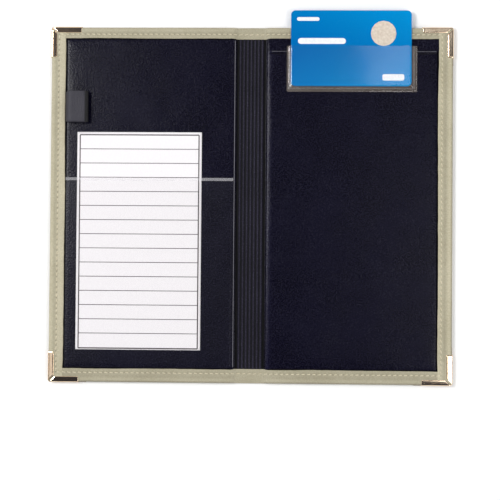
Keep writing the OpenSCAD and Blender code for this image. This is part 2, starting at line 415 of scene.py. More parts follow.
TAN = leatherette("tan_leatherette", (0.325, 0.296, 0.203), (0.435, 0.40, 0.290), 900, 0.00008, 0.5)
# The last colour given to the two navy linings is painted glints on a few pebbles
NAVY = leatherette("navy_lining", (0.0008, 0.0005, 0.0052), (0.0032, 0.0028, 0.0115),
                   950, 0.00012, 0.25, 0.14, (0.013, 0.0125, 0.018))
RIBBED = leatherette("navy_ribbed", (0.0032, 0.0028, 0.0066), (0.0088, 0.0080, 0.0150),
                     900, 0.00008, 0.42, 0.12, (0.009, 0.0085, 0.013))
# Painted shade: near-black for the panel borders down in the grooves, where shade falls
GROOVE_SHADE = leatherette("painted_groove_shade", (0.0005, 0.0004, 0.0016), (0.0012, 0.0010, 0.0030),
                         900, 0.00008, 0.7, 0.02)
WEBBING = leatherette("loop_strip", (0.021, 0.020, 0.029), (0.035, 0.033, 0.045), 1300, 0.0001, 0.5, 0.3)
# Painted highlight: grey for the strips along the panels' folds, for the light the folds catch
FOLD_HIGHLIGHT = leatherette("painted_fold_highlight", (0.100, 0.098, 0.115), (0.150, 0.147, 0.168), 900, 0.00006, 0.5, 0.2)
THREAD = thread_material()
METAL = metal_material()
FILM = clear_film("clear_film", (0.995, 0.995, 0.995), 0.06, 0.10, 0.07,
                  (0.78, 0.77, 0.82), (0.90, 0.89, 0.93))
CHECK_FILM = clear_film("soft_clear_film", (0.985, 0.985, 0.985), 0.03, 0.10, 0.40,
                        (0.20, 0.20, 0.21), (0.28, 0.28, 0.30))
# Painted glint: the hem's whitish haze, for light reflected off the folded edge
FILM_EDGE_GLINT = clear_film("film_edge_painted_glint", (1.0, 1.0, 1.0), 0.22, 1.0, 0.5,
                       (0.88, 0.87, 0.90), (0.96, 0.95, 0.98))
BACKING = clear_film("smoked_film", (0.6, 0.56, 0.54), 0.45, 0.97, 0.45,
                     (0.15, 0.125, 0.11), (0.21, 0.18, 0.16))
CARD = card_material()
WHITE_PRINT = print_material("white_print", (0.74, 0.77, 0.80), (0.84, 0.86, 0.88))
BEIGE_PRINT = print_material("beige_print", (0.56, 0.47, 0.38), (0.70, 0.62, 0.53))
INK = print_material("ruling_ink", (0.045, 0.035, 0.04), (0.08, 0.065, 0.07))
PAPER = paper_material()
BOARD = board_material()


# ---- shape of the leather
def top_height(x):
    """Height of the turned leather over the table, from the thin spine up to the covers."""
    return SPINE_Z + (TOP_Z - SPINE_Z) * ease((np.abs(x) - RAMP_X) / RAMP_W)


def roll_radius(x):
    return np.minimum(ROLL_R, 0.45 * (top_height(x) - SKIN_Z))


def edge_distance(x, y):
    """Distance in from the leather's outline, and the outline's outward direction."""
    y_mid, y_half = (skin_low[1] + skin_high[1]) / 2, (skin_high[1] - skin_low[1]) / 2
    qx = x - (skin_high[0] - SKIN_R)
    qy = np.abs(y - y_mid) - (y_half - SKIN_R)
    px, py = np.maximum(qx, 0), np.maximum(qy, 0)
    length = np.hypot(px, py)
    distance = SKIN_R - length - np.minimum(np.maximum(qx, qy), 0)
    flat_x = (qx > qy).astype(float)
    safe = np.where(length > 1e-9, length, 1)
    nx = np.where(length > 1e-9, px / safe, flat_x)
    ny = np.where(length > 1e-9, py / safe, 1 - flat_x) * np.sign(y - y_mid)
    return distance, nx, ny


def seam_lines(seam_in):
    """The seam's three straight runs on one cover, each from start to end."""
    x = WINDOW_X + seam_in
    y0, y1 = WINDOW_Y0 - SEAM_IN, WINDOW_Y1 + SEAM_IN
    start = SPINE_STITCHES / 2 * SPINE_STITCH_PITCH
    return [((start, y0), (x, y0)), ((x, y0), (x, y1)), ((x, y1), (start, y1))]


def channel_depth(away):
    """Depth of the channel that a row of stitches pulls in, at a distance from the row."""
    return 0.14 * bell(away, 0.8) + 0.14 * bell(away, 2.2)


def seam_dent(x, y, seam_in):
    """Depth of the leather along the seam, and how much each point is in a needle hole. The
    holes are widest on the front's side seam, which is stitched the tightest."""
    channel = np.full(np.shape(x), 1e3)
    holes = np.zeros(np.shape(x))
    for start, end in seam_lines(seam_in):
        a, b = np.array(start), np.array(end)
        tight = 1.0 if a[0] == b[0] and seam_in == FRONT_SEAM_IN else 0.35
        length = np.linalg.norm(b - a)
        along = ((x - a[0]) * (b[0] - a[0]) + (y - a[1]) * (b[1] - a[1])) / length
        across = np.abs((x - a[0]) * (b[1] - a[1]) - (y - a[1]) * (b[0] - a[0])) / length
        before = -along if a[0] > SPINE_END else 0 * along
        away = np.hypot(across, np.maximum(0, np.maximum(before, along - length)))
        channel = np.minimum(channel, away)
        pitch = length / round(length / STITCH_PITCH)
        from_hole = np.abs((along / pitch + 0.5) % 1 - 0.5) * pitch
        holes = np.maximum(holes, tight * np.exp(-(away / 0.5) ** 2 - (from_hole / 0.65) ** 2))
    return channel_depth(channel) + 0.4 * holes, holes


ROLL_ANGLES = [math.radians(a) for a in (0, 20, 40, 60, 78, 90)]  # round the folded edge
LIP = [(0.0, 1.0), (0.02, 0.5), (0.09, 0.22), (0.24, 0.07), (0.5, 0.0)]  # from the inner edge, drop


def trim_lines(inner, outer, seam):
    """Grid lines across one turned edge, from its inner edge out, each with its drop at the lip."""
    reach = abs(outer - inner)
    sign = 1 if outer > inner else -1
    seam_at = abs(seam - inner)
    places = list(np.arange(1.0, reach - ROLL_R - 0.3, 0.5))
    places += [seam_at - 0.6, seam_at - 0.3, seam_at, seam_at + 0.3, seam_at + 0.6]
    places += list(reach - ROLL_R + ROLL_R * np.sin(np.radians([-12, 0, 15, 30, 45, 58, 70, 80, 90])))
    kept = []
    for p in sorted(places):
        if p > 0.7 and (not kept or p - kept[-1] > 0.12 or p == reach):
            kept.append(p)
    return [(inner + sign * p, drop) for p, drop in LIP] + [(inner + sign * p, 0.0) for p in kept]


# Soft channel between the rolled edge and the seam: place in from the outside, half width, depth
HOLLOWS = {FRONT: (4.0, 1.3, 0.34), BACK: (5.7, 1.7, 0.42)}
END_HOLLOW = (4.6, 1.6, 0.12)
UNDERSIDE_IN = 0.6  # how far in the flat outside sheet starts


def hollow_depth(inward, shape):
    place, width, depth = shape
    return depth * bell(inward - place, width)


def leather_lines(seam_in):
    """Grid lines across one cover's leather, each with its drop at the lip, and where the window
    is in them: the first line of the side edge, the last of the bottom and the first of the top."""
    side = trim_lines(WINDOW_X, skin_high[0], WINDOW_X + seam_in)
    bottom = trim_lines(WINDOW_Y0, skin_low[1], WINDOW_Y0 - SEAM_IN)
    top = trim_lines(WINDOW_Y1, skin_high[1], WINDOW_Y1 + SEAM_IN)
    step = STITCH_PITCH / 6
    ramp = [SPINE_END + d for d in (0, 0.4, 0.8, 1.2, 1.6, 2.0, 2.4)]
    inner_x = ramp + list(np.arange(ramp[-1] + step, WINDOW_X - step / 2, step))
    inner_y = list(np.arange(WINDOW_Y0 + step, WINDOW_Y1 - step / 2, step))
    x_lines = [(x, 0.0) for x in inner_x] + side
    y_lines = bottom[::-1] + [(y, 0.0) for y in inner_y] + top
    window = (len(inner_x), len(bottom) - 1, len(bottom) + len(inner_y))
    return np.array(x_lines).T, np.array(y_lines).T, window


def edge_waves(X, Y, seed):
    """How far the inner edges wander: along X at the side, and along Y at the top and bottom."""
    near_side = ease((WINDOW_X + 3.4 - X) / 3.4) * (X > WINDOW_X - 0.01)
    fade = ease((Y - WINDOW_Y0) / 8) * ease((WINDOW_Y1 - Y) / 8)
    slow_x = 0.35 * ripple(Y, 0 * Y, 90, seed + 2) + 0.1 * ripple(Y, 0 * Y, 12, seed + 3) - 0.25
    near_low = ease((Y - (WINDOW_Y0 - 2.6)) / 2.6) * (Y < WINDOW_Y0 + 0.01)
    near_high = ease(((WINDOW_Y1 + 2.6) - Y) / 2.6) * (Y > WINDOW_Y1 - 0.01)
    fade_x = ease((X - SPINE_END) / 6) * ease((WINDOW_X - X) / 6)
    slow_y = 0.22 * ripple(X, 0 * X, 80, seed + 4) + 0.12 + 0.06 * ripple(X, 0 * X, 10, seed + 5)
    flex = SPINE_FLEX * (1 - ease((X - SPINE_END) / 3))
    return near_side * fade * slow_x, (near_low - near_high) * (fade_x * slow_y + flex)


def leather_painted_light(body, Y, distance, drop, hollow, holes, on_side, on_end):
    """Painted light and shade: darker in the hollow and the needle holes, lighter on the side edges, the
    ridge and the lip, darker on the top and bottom edges and along the rolled outer edge of the sides and
    the bottom.
    """
    tone = 1.0 - 0.7 * hollow - 0.45 * holes + (0.20 if body == BACK else 0.15) * on_side
    tone = tone + 0.09 * bell(distance - 2.2, 1.0) + 0.5 * drop * (drop < 0.3) - 0.07 * on_end
    # Painted shade along the rolled outer edge of the sides and of the bottom
    painted_glint_and_shade = 0.4 if body == BACK else 0.08
    tone = tone - np.where(Y < 0, 0.32, 0.0) * on_end * bell(distance, 0.9)
    return tone - painted_glint_and_shade * on_side * bell(distance, 1.1)


def turned_edges(x_lines, y_lines, body, seam_in, seed):
    """Points and tones of the turned edges: rolled outside, lipped inside and stitch channel. The tones
    are painted light and shade.
    """
    X, Y = np.meshgrid(x_lines[0], y_lines[0], indexing="ij")
    by_window = ((Y > WINDOW_Y0 - 0.01) & (Y < WINDOW_Y1 + 0.01)).astype(float)
    by_spine = (X < WINDOW_X + 0.01).astype(float)
    # The side edge lies over the ends of the other two, so its lip goes on as a low step
    side_drop = x_lines[1][:, None] * np.where(by_window > 0, 1.0, 0.2)
    drop = np.maximum(side_drop, y_lines[1][None, :] * by_spine)
    under = (1 - by_window) * by_spine * ease((X - (WINDOW_X - 9)) / 9) * 0.16
    distance, nx, ny = edge_distance(X, Y)
    outside = distance < 0
    X = np.where(outside, X + nx * distance, X)
    Y = np.where(outside, Y + ny * distance, Y)
    distance = np.maximum(distance, 0)
    radius = roll_radius(X)
    inward = np.clip(radius - distance, 0, radius)
    roll = radius - np.sqrt(radius ** 2 - inward ** 2)
    from_side, from_end = EDGE_X - X, np.minimum(Y - EDGE_BOTTOM, EDGE_TOP - Y)
    on_side = ease((X - WINDOW_X + 0.2) / 0.4) * ease((from_end - 1.0) / 3.0)
    on_end = by_spine * (1 - by_window)
    hollow = hollow_depth(from_side, HOLLOWS[body]) * on_side
    hollow = hollow + hollow_depth(from_end, END_HOLLOW) * on_end
    away_from_spine = ease((X - SPINE_END) / 4)
    soft = (0.06 * ripple(X, Y, 26, seed) + 0.03 * ripple(X, Y, 7, seed + 1)) * away_from_spine
    level = ease(distance / 2.0)
    dent, holes = seam_dent(X, Y, seam_in)
    reach, across = np.maximum(from_side, from_end), np.minimum(from_side, from_end)
    pressed = TAB_PRESS * ((across < TAB_W - 0.2) & (reach < TAB_LEG - 0.4))
    Z = top_height(X) - roll - drop - under - (hollow + dent + 0.09 - soft) * level
    Z = np.where(pressed > 0, np.minimum(Z, TOP_Z - pressed), Z)
    tone = leather_painted_light(body, Y, distance, drop, hollow * level, holes, on_side, on_end)
    shift_x, shift_y = edge_waves(X, Y, seed)
    return np.stack([X + shift_x, Y + shift_y, Z], axis=2), tone


def leather_underside(build, index):
    """Rolls the leather's outer boundary round to the flat sheet on the outside of the cover."""
    last = [*index[:, 0], *index[-1, 1:], *index[-2::-1, -1]]
    points = np.array([build.points[i] for i in last])
    _, nx, ny = edge_distance(points[:, 0], points[:, 1])
    nx[0] = nx[-1] = 0
    radius = roll_radius(points[:, 0])
    steps = [(radius * (1 - math.cos(a)), SKIN_Z + radius * (1 - math.sin(a))) for a in ROLL_ANGLES]
    steps.append((radius + UNDERSIDE_IN, np.full(len(last), SKIN_Z)))
    for inset, z in steps:
        first = build.add(np.column_stack([points[:, 0] - nx * inset, points[:, 1] - ny * inset, z]))
        new = [first + k for k in range(len(last))]
        for k in range(len(last) - 1):
            build.faces.append((last[k], new[k], new[k + 1], last[k + 1]))
        last = new
    build.faces.append(tuple(last[::-1]))


def cover_leather(name, body, seam_in, seed):
    """One cover's leather: its turned edges, and the plain sheet on its outside."""
    build = Build()
    x_lines, y_lines, (side, bottom, top) = leather_lines(seam_in)
    points, tone = turned_edges(x_lines, y_lines, body, seam_in, seed)
    index = build.grid(points, lambda i, j: i >= side or j < bottom or j >= top, tone=tone)
    leather_underside(build, index)
    return piece(name, build, TAN, mirrored=body == FRONT)


def spine_profile(x):
    """Section of the spine's leather across Y and Z, from its lower lip round the outside to the
    upper one."""
    high = float(top_height(x))
    radius = float(roll_radius(x))
    roll = [(radius * (1 - math.cos(a)), radius * (1 - math.sin(a))) for a in ROLL_ANGLES]

    def half(inner, outer, sign):
        """From the lip of one turned end out to the middle of its edge, then under."""
        seam = inner + sign * SEAM_IN
        places = [inner + sign * p for p in (0.9, 1.5, 2.1, 2.5, 2.9, 3.3, 3.7, 4.4, 5.2, 6.0)]
        places = [v for v in places if abs(outer - v) > ROLL_R + 0.2]
        drops = [channel_depth(v - seam) + hollow_depth(abs(outer - v) + METAL_T, END_HOLLOW) + 0.09
                 for v in places]
        lip = [(inner + sign * (p - SPINE_FLEX), high - drops[0] - min(d, 0.75)) for p, d in LIP]
        shelf = [(v, high - d) for v, d in zip(places, drops)]
        over = [(outer - sign * inset, high - fall) for inset, fall in roll[::-1]]
        below = [(outer - sign * inset, SKIN_Z + rise) for inset, rise in roll]
        return lip + shelf + over + below + [(outer - sign * (radius + UNDERSIDE_IN), SKIN_Z)]

    low = half(WINDOW_Y0, skin_low[1], -1)
    top = half(WINDOW_Y1, skin_high[1], 1)
    return low + top[::-1]


LINKS = [FRONT] + [f"spine_link_{k}" for k in range(1, LINK_COUNT + 1)] + [BACK]


def spine_line(k):
    """X of the middle of link k, or of the spine's end on a cover."""
    if k == 0:
        return -SPINE_END
    if k == LINK_COUNT + 1:
        return SPINE_END
    return (k - (LINK_COUNT + 1) / 2) * LINK_PITCH


def bend(obj):
    """Bakes obj's transform into its mesh."""
    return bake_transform(obj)


def spine_leather():
    for k in range(1, LINK_COUNT + 2):
        build = Build()
        xs = np.linspace(spine_line(k - 1), spine_line(k), 9)
        P = np.array([[(x, y, z) for y, z in spine_profile(x)] for x in xs])
        # Painted shade: the spine's outer leather is made a little darker, as on the covers' turned ends
        build.grid(P, tone=np.where(P[:, :, 2] > SKIN_Z + SKIN_T, 0.93, 1.0))
        obj = piece(f"spine_leather_{k}", build, TAN, flip=True)
        if k <= LINK_COUNT:
            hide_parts(f"spine_skin_{k}")
        bend(obj)


def rib_height(x, y):
    """Height of the ribbed lining: one round rib on each link, fading out under the turned edges."""
    rib = np.abs(np.cos(math.pi * x / LINK_PITCH)) ** 1.8
    inside = np.abs(x) < LINK_PITCH * LINK_COUNT / 2
    open_y = np.minimum(y - WINDOW_Y0, WINDOW_Y1 - y) - SPINE_FLEX
    return RIB_BED_Z + np.where(inside, 0.68 * rib, 0) * ease((open_y + 0.2) / 0.5)


def spine_ribs():
    edges = [-2.2, -0.2, 0.0, 0.2, 0.5, 0.8, 1.2, 2.0]
    ys = [WINDOW_Y0 + e for e in edges] + list(np.arange(WINDOW_Y0 + 4, WINDOW_Y1 - 3.5, 3.0))
    ys += [WINDOW_Y1 - e for e in edges[::-1]]
    for k in range(1, LINK_COUNT + 2):
        build = Build()
        xs = np.linspace(spine_line(k - 1), spine_line(k), 21)
        X, Y = np.meshgrid(xs, ys, indexing="ij")
        wobble = 0.05 * ripple(Y, 0 * Y, 30, k) * (np.abs(X) < SPINE_END - 1.4)
        height = rib_height(X, Y)
        # Painted highlight on the rib tops and painted shade down between them
        tone = 0.12 + 3.2 * (height - RIB_BED_Z)
        build.grid(np.stack([X, Y, height + wobble], axis=2), tone=tone)
        obj = piece(f"spine_ribs_{k}", build, RIBBED)
        if k <= LINK_COUNT:
            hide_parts(f"spine_lining_{k}")
        bend(obj)


# ---- lining and pocket panels
def lining_sheet(name, node):
    """Base lining of one cover, from the spine up over the board's edge and under the trims."""
    build = Build()
    rise = [(0.0, RIB_BED_Z), (0.25, RIB_BED_Z + 0.04), (0.5, RIB_BED_Z + 0.3), (0.75, lining_z - 0.5),
            (1.0, lining_z - 0.12), (1.3, lining_z)]
    xs = [(SPINE_END + d, z) for d, z in rise]
    xs += [(x, lining_z) for x in np.linspace(SPINE_END + 3, WINDOW_X + TUCK, 70)]
    ys = np.linspace(WINDOW_Y0 - TUCK, WINDOW_Y1 + TUCK, 130)
    P = np.array([[(x, y, z) for y in ys] for x, z in xs])
    P[:, :, 2] += 0.04 * ripple(P[:, :, 0], P[:, :, 1], 22, 5) * (P[:, :, 0] > SPINE_END + 2)
    build.grid(P)
    obj = piece(name, build, NAVY, mirrored=name.startswith("front"))
    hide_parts(node)
    return obj


# How a panel rises from its edge: place in from the edge, height
EDGE_STEPS = [(0.0, 0.0), (0.0, 0.3), (0.06, 0.48), (0.2, 0.62), (0.42, 0.69), (0.8, 0.74)]
SOFT_STEPS = [(0.0, 0.0), (0.1, 0.12), (0.4, 0.26), (0.9, 0.42), (1.5, 0.55), (2.2, 0.66), (3.0, 0.72),
              (3.8, 0.75)]
HEM_IN = 1.8  # seam of the hem along a panel's open top
HEM_STEPS = [(0.0, 0.0), (0.0, 0.3), (0.06, 0.5), (0.25, 0.66), (0.6, 0.74), (1.1, 0.72), (1.5, 0.5),
             (HEM_IN, 0.36), (2.1, 0.5), (2.6, 0.68), (3.4, 0.74)]
PANEL_RISE = 0.76
GROOVE = 1.3  # gap between a panel and the turned edge
END_GROOVE = GROOVE * 0.6
PANEL_X0, PANEL_X1 = panel_low[0], WINDOW_X - GROOVE
PANEL_Y0 = WINDOW_Y0 + END_GROOVE
FRONT_PANEL_TOP = WINDOW_Y1 - END_GROOVE
PANEL_BASE_Z = panel_low[2] + 0.2
FOLD_Z = PANEL_BASE_Z + 0.32  # low side of the painted highlight strips along the panels' folds


def panel_sheet(name, node, mouth_y, seed, open_top, spine_steps, painted_fold_sheen):
    """Pocket panel: a raised, softly pillowed sheet with folded edges. Its tone paints shade down at its
    edges, a highlight along the back panel's fold by the spine, and shade along the hem's seam.
    """
    build = Build()
    x0, x1, y0, y1 = PANEL_X0, PANEL_X1, PANEL_Y0, mouth_y

    def lines(low, high, first, last):
        inner = np.arange(low + first[-1][0] + 0.8, high - last[-1][0] - 0.4, 1.3)
        start = [(low + d, h) for d, h in first]
        end = [(high - d, h) for d, h in last[::-1]]
        return start + [(v, PANEL_RISE) for v in inner] + end

    x, hx = np.array(lines(x0, x1, spine_steps, EDGE_STEPS)).T
    y, hy = np.array(lines(y0, y1, EDGE_STEPS, HEM_STEPS if open_top else EDGE_STEPS)).T
    X, Y = np.meshgrid(x, y, indexing="ij")
    rise = np.minimum(hx[:, None], hy[None, :])
    # Painted highlight along the fold by the spine, and painted shade along the hem's seam
    painted_light_and_shade = painted_fold_sheen * bell(X - x0, 2.5)
    if open_top:
        painted_light_and_shade = painted_light_and_shade - 0.5 * bell(y1 - HEM_IN - Y, 0.5)
    # The sewn edges sink towards their seam, and the open ones stay square
    sewn = np.minimum(x1 - X, Y - y0)
    if not open_top:
        sewn = np.minimum(sewn, y1 - Y)
    near = np.minimum(np.minimum(X - x0, x1 - X), np.minimum(Y - y0, y1 - Y))
    pillow = 0.34 * np.exp(-np.maximum(sewn, 0) / 5.0)
    soft = (0.10 * ripple(X, Y, 60, seed) + 0.045 * ripple(X, Y, 17, seed + 1)) * ease(near / 4)
    Z = PANEL_BASE_Z - 0.06 + rise - (pillow + 0.10) * np.minimum(rise / 0.7, 1) + soft
    # Painted shade where the panel runs down into the groove
    tone = 0.4 + 0.6 * ease(rise / 0.6) + painted_light_and_shade
    build.grid(np.stack([X, Y, np.minimum(Z, panel_high[2])], axis=2), tone=tone)
    obj = piece(name, build, NAVY, mirrored=name.startswith("front"))
    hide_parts(node)
    return obj


def panel_border(name, mouth_y, open_top):
    """Sewn-down border of a panel, in the groove and in under the turned edges, near-black as painted
    shade in the groove.
    """
    build = Build()
    start_x, lap = PANEL_X0 + 1.8, 0.3
    strips = [(start_x, WINDOW_X + TUCK, WINDOW_Y0 - TUCK, PANEL_Y0 + lap),
              (PANEL_X1 - lap, WINDOW_X + TUCK, PANEL_Y0, mouth_y)]
    if not open_top:
        strips.append((start_x, WINDOW_X + TUCK, mouth_y - lap, WINDOW_Y1 + TUCK))
    for ax, bx, ay, by in strips:
        X, Y = np.meshgrid(np.linspace(ax, bx, 24), np.linspace(ay, by, 24), indexing="ij")
        build.grid(np.stack([X, Y, np.full(X.shape, panel_low[2] + 0.08)], axis=2))
    return piece(name, build, GROOVE_SHADE, mirrored=name.startswith("front"))


# ---- stitches
def thread(build, start, end, slant):
    """One stitch from hole to hole: a two-ply tube that dives in at both ends."""
    start, end = np.array(start, float), np.array(end, float)
    along = (end - start) / np.linalg.norm(end - start)
    side = np.array([-along[1], along[0]])
    start, end = start - side * slant, end + side * slant
    rings, sides = 11, 8
    P = np.zeros((rings, sides, 3))
    for i in range(rings):
        t = i / (rings - 1)
        arch = math.sin(math.pi * t) ** 0.6
        middle = start + (end - start) * t
        z = float(top_height(middle[0])) - STITCH_SINK + 0.5 * (arch - 0.8)
        r = 0.30 * (0.45 + 0.55 * arch)
        for j in range(sides):
            a = 2 * math.pi * j / sides
            ply = 1 + 0.16 * math.cos(2 * a + 9 * t)
            P[i, j] = (*(middle + side * r * ply * math.cos(a)), z + r * 0.8 * ply * math.sin(a))
    build.rings(P)


def cover_stitches(name, node, seam_in):
    build = Build()
    for start, end in seam_lines(seam_in):
        a, b = np.array(start), np.array(end)
        slant = 0.45 if a[0] == b[0] and seam_in == BACK_SEAM_IN else 0.2
        count = round(np.linalg.norm(b - a) / STITCH_PITCH)
        step = (b - a) / count
        gap = (1 - STITCH_LEN / STITCH_PITCH) / 2
        for k in range(count):
            thread(build, a + step * (k + gap), a + step * (k + 1 - gap), slant)
    obj = piece(name, build, THREAD, mirrored=name.startswith("front"), flip=True)
    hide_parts(node)
    return obj


def spine_stitches():
    """Stitches across the spine: each sits on a link's middle or over a hinge."""
    half = SPINE_STITCH_LEN / 2
    for number in range(1, SPINE_STITCHES + 1):
        x = (number - (SPINE_STITCHES + 1) / 2) * SPINE_STITCH_PITCH
        build = Build()
        for y in (WINDOW_Y0 - SEAM_IN, WINDOW_Y1 + SEAM_IN):
            thread(build, (x - half, y), (x + half, y), 0.24)
        obj = piece(f"spine_stitches_{number}", build, THREAD, flip=True)
        place = x / LINK_PITCH + (LINK_COUNT + 1) / 2
        if abs(place - round(place)) < 0.01:
            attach(obj, LINKS[round(place)])
        else:
            bend(obj)


# ---- metal corners
PLATE_LEG, PLATE_BAND = 27.5, 6.2
WALL_LEG = TAB_LEG + 0.3
CORNER_R = 2.0
FOLD_R = 0.85  # outer radius of the fold from the wall to a tab
# How far each corner's side tab leans out
LEANS = {("front", "top"): 0.0, ("front", "bottom"): 0.3, ("back", "top"): 0.0, ("back", "bottom"): 0.5}


def corner_plate(build, place):
    """Outer plate with a beaded rim."""
    bead = [(0.0, 0.45), (0.03, 0.25), (0.15, 0.08), (0.38, 0.0), (0.75, 0.0), (0.95, 0.05), (1.1, 0.16),
            (1.3, 0.22), (1.5, 0.2), (1.7, 0.08), (2.0, 0.01), (2.5, 0.0)]
    rings = []
    for inset, z in bead:
        leg, band = PLATE_LEG - inset, PLATE_BAND - inset
        corners = [(inset, inset), (leg, inset), (leg, band), (band, band), (band, leg), (inset, leg)]
        tip, end = max(0.15, 0.7 - inset * 0.3), max(0.3, 2.2 - inset * 0.7)
        radii = [max(0.25, CORNER_R - inset), tip, end, 0.9 + inset, end, tip]
        rings.append([place(u, v, z) for u, v in round_outline(corners, radii, 6)])
    index = build.rings(rings, capped=False)
    build.faces.append(tuple(index[-1]))


def corner_wall(build, place):
    """Wall round the outside of the corner."""
    wall = [(0.0, 0.2), (0.0, METAL_TOP - 0.75), (0.05, METAL_TOP - 0.55), (0.17, METAL_TOP - 0.42),
            (0.30, METAL_TOP - 0.45), (METAL_T, METAL_TOP - 0.6), (METAL_T, 0.2)]
    path = [((0, v), (1, 0)) for v in np.linspace(WALL_LEG, CORNER_R + 0.01, 8)]
    for a in np.radians(range(0, 91, 10)):
        inward = (math.cos(a), math.sin(a))
        path.append(((CORNER_R * (1 - inward[0]), CORNER_R * (1 - inward[1])), inward))
    path += [((u, 0), (0, 1)) for u in np.linspace(CORNER_R + 0.01, WALL_LEG, 8)]
    build.rings([[place(p[0] + n[0] * d, p[1] + n[1] * d, z) for d, z in wall] for p, n in path])


def corner_tab(build, place, fall, swap):
    """Tab folded in over the leather, lower by fall at the fold. swap puts it on the end edge."""
    section = [(-0.01, METAL_TOP - FOLD_R - 0.8)]
    for a in np.radians(range(0, 91, 15)):
        section.append((FOLD_R * (1 - math.cos(a)) - 0.01, METAL_TOP - fall - FOLD_R * (1 - math.sin(a))))
    for t in (0.25, 0.5, 0.75, 1.0):
        section.append((FOLD_R + t * (TAB_W - FOLD_R - 0.5), METAL_TOP - fall * (1 - t)))
    section += [(TAB_W - d, METAL_TOP - h) for d, h in ((0.25, 0.05), (0.08, 0.18), (0.0, 0.45))]
    ends = [(0.0, 0.45), (0.0, 0.2), (0.08, 0.07), (0.25, 0.0)]
    rows = []
    for d, z in section:
        near, far = max(CORNER_R * 0.55, 0.8 + d), TAB_LEG - 0.12 * max(d, 0)
        stops = [(near + s, drop) for s, drop in ends]
        stops += [(s, 0.0) for s in np.linspace(near + 1, far - 1, 12)]
        stops += [(far - s, drop) for s, drop in ends[::-1]]
        rows.append([place(*((s, d) if swap else (d, s)), z - drop) for s, drop in stops])
    build.grid(np.array(rows))


def metal_corner(name, body, end, lean):
    """Pressed corner. u runs in from the side edge and v in from the top or bottom edge. The side
    tab leans out by lean, with the rolled edge that it clamps."""
    build = Build()

    def place(u, v, z):
        return (EDGE_X - u, EDGE_TOP - v if end == "top" else EDGE_BOTTOM + v, z)

    corner_plate(build, place)
    corner_wall(build, place)
    corner_tab(build, place, lean, False)
    corner_tab(build, place, 0.0, True)
    obj = piece(name + "_pressed", build, METAL, mirrored=body == FRONT)
    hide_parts(name)
    recalc(obj)
    return obj


def recalc(obj):
    """Turns every closed part of a mesh to face outwards."""
    bm = bmesh.new()
    bm.from_mesh(obj.data)
    bmesh.ops.recalc_face_normals(bm, faces=bm.faces)
    bm.to_mesh(obj.data)
    bm.free()


# ---- pockets, loop, card and check
def pen_loop():
    """Strip folded to a soft loop, with its ends down in the groove beside the trim."""
    build = Build()
    x0, x1 = loop_low[0] + 2.1, loop_high[0] - 0.3
    y0, y1 = loop_low[1], loop_high[1]
    z0, z1 = panel_high[2] + 0.65, loop_high[2] - 0.25
    mx, mz, hx, hz = (x0 + x1) / 2, (z0 + z1) / 2, (x1 - x0) / 2, (z1 - z0) / 2
    count, thick = 56, 0.22
    band = [(-thick, 0.25), (-thick * 0.6, 0.06), (0.0, 0.0), (thick * 0.6, 0.06), (thick, 0.25)]
    flat = np.linspace(y0 + 2, y1 - 2, 7)
    profile = [(o, y0 + d) for o, d in band] + [(thick, y) for y in flat]
    profile += [(o, y1 - d) for o, d in band[::-1]] + [(-thick, y) for y in flat[::-1]]
    rows = []
    for k in range(count):
        a = 2 * math.pi * k / count
        c, s = math.cos(a), math.sin(a)
        x = mx + hx * math.copysign(abs(c) ** 0.42, c)
        z = mz + hz * math.copysign(abs(s) ** 0.62, s)
        normal = np.array([c / hx, s / hz])
        normal /= np.linalg.norm(normal)
        row = []
        for offset, y in profile:
            sag = -0.35 * math.sin(math.pi * (y - y0) / (y1 - y0)) * max(0, s) * (1 - abs(c))
            row.append((x + normal[0] * offset, y, z + normal[1] * offset + sag))
        rows.append(row)
    rows = np.array(rows)
    # Painted shade: the loop's right-hand turn is darkened as if in shade
    tone = 1 - 0.9 * ease((rows[:, :, 0] - (x1 - 2.6)) / 0.7)
    build.grid(rows, loop_u=True, loop_v=True, tone=tone)
    root = [(x0 - 0.1, mz + 0.8), (x0 - 0.3, mz - 0.4), (loop_low[0] + 0.7, mz - 1.6),
            (loop_low[0] + 0.2, loop_low[2] + 0.1)]
    build.grid(np.array([[(x, y, z) for x, z in root] for y in np.linspace(y0 + 0.3, y1 - 0.3, 9)]))
    obj = piece("pen_loop_strip", build, WEBBING)
    recalc(obj)
    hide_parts("pen_loop")
    return obj


def film_sheet(name, node, low, high, weld, top_z, border_z, seed, waves, material):
    """Clear sheet that is welded down along its sides and bottom."""
    build = Build()
    edge = [0, 0.2] + [weld * part for part in (0.3, 0.5, 0.7, 0.9, 1.1, 1.3, 1.6)]

    def lines(a, b):
        middle = np.linspace(a + weld * 2.2, b - weld * 2.2, 46)
        return np.array([a + e for e in edge] + list(middle) + [b - e for e in edge[::-1]])

    X, Y = np.meshgrid(lines(low[0], high[0]), lines(low[1], high[1]), indexing="ij")
    inside = np.minimum(np.minimum(X - low[0], high[0] - X), Y - low[1])
    sheet = border_z + (top_z - border_z) * ease((inside - weld * 0.55) / (weld * 0.9))
    ridge = 0.012 * bell(inside - weld * 0.45, 0.16)
    Z = sheet + ridge + waves * ripple(X, Y, 34, seed) * ease((inside - weld) / 6)
    build.grid(np.stack([X, Y, Z], axis=2))
    obj = piece(name, build, material)
    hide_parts(node)
    return obj


def film_hem(name, x0, x1, y0, y1, z):
    """Folded-down edge of the clear sheet, as a soft single ridge along its mouth, with a whitish haze as
    a painted glint.
    """
    build = Build()
    rise = [(0.0, -0.06), (0.08, -0.03), (0.25, 0.0), (0.5, 0.02), (0.75, 0.0), (0.92, -0.03),
            (1.0, -0.06)]
    P = np.array([[(x, y0 + (y1 - y0) * t, z + h) for t, h in rise] for x in np.linspace(x0, x1, 80)])
    build.grid(P)
    return piece(name, build, FILM_EDGE_GLINT)


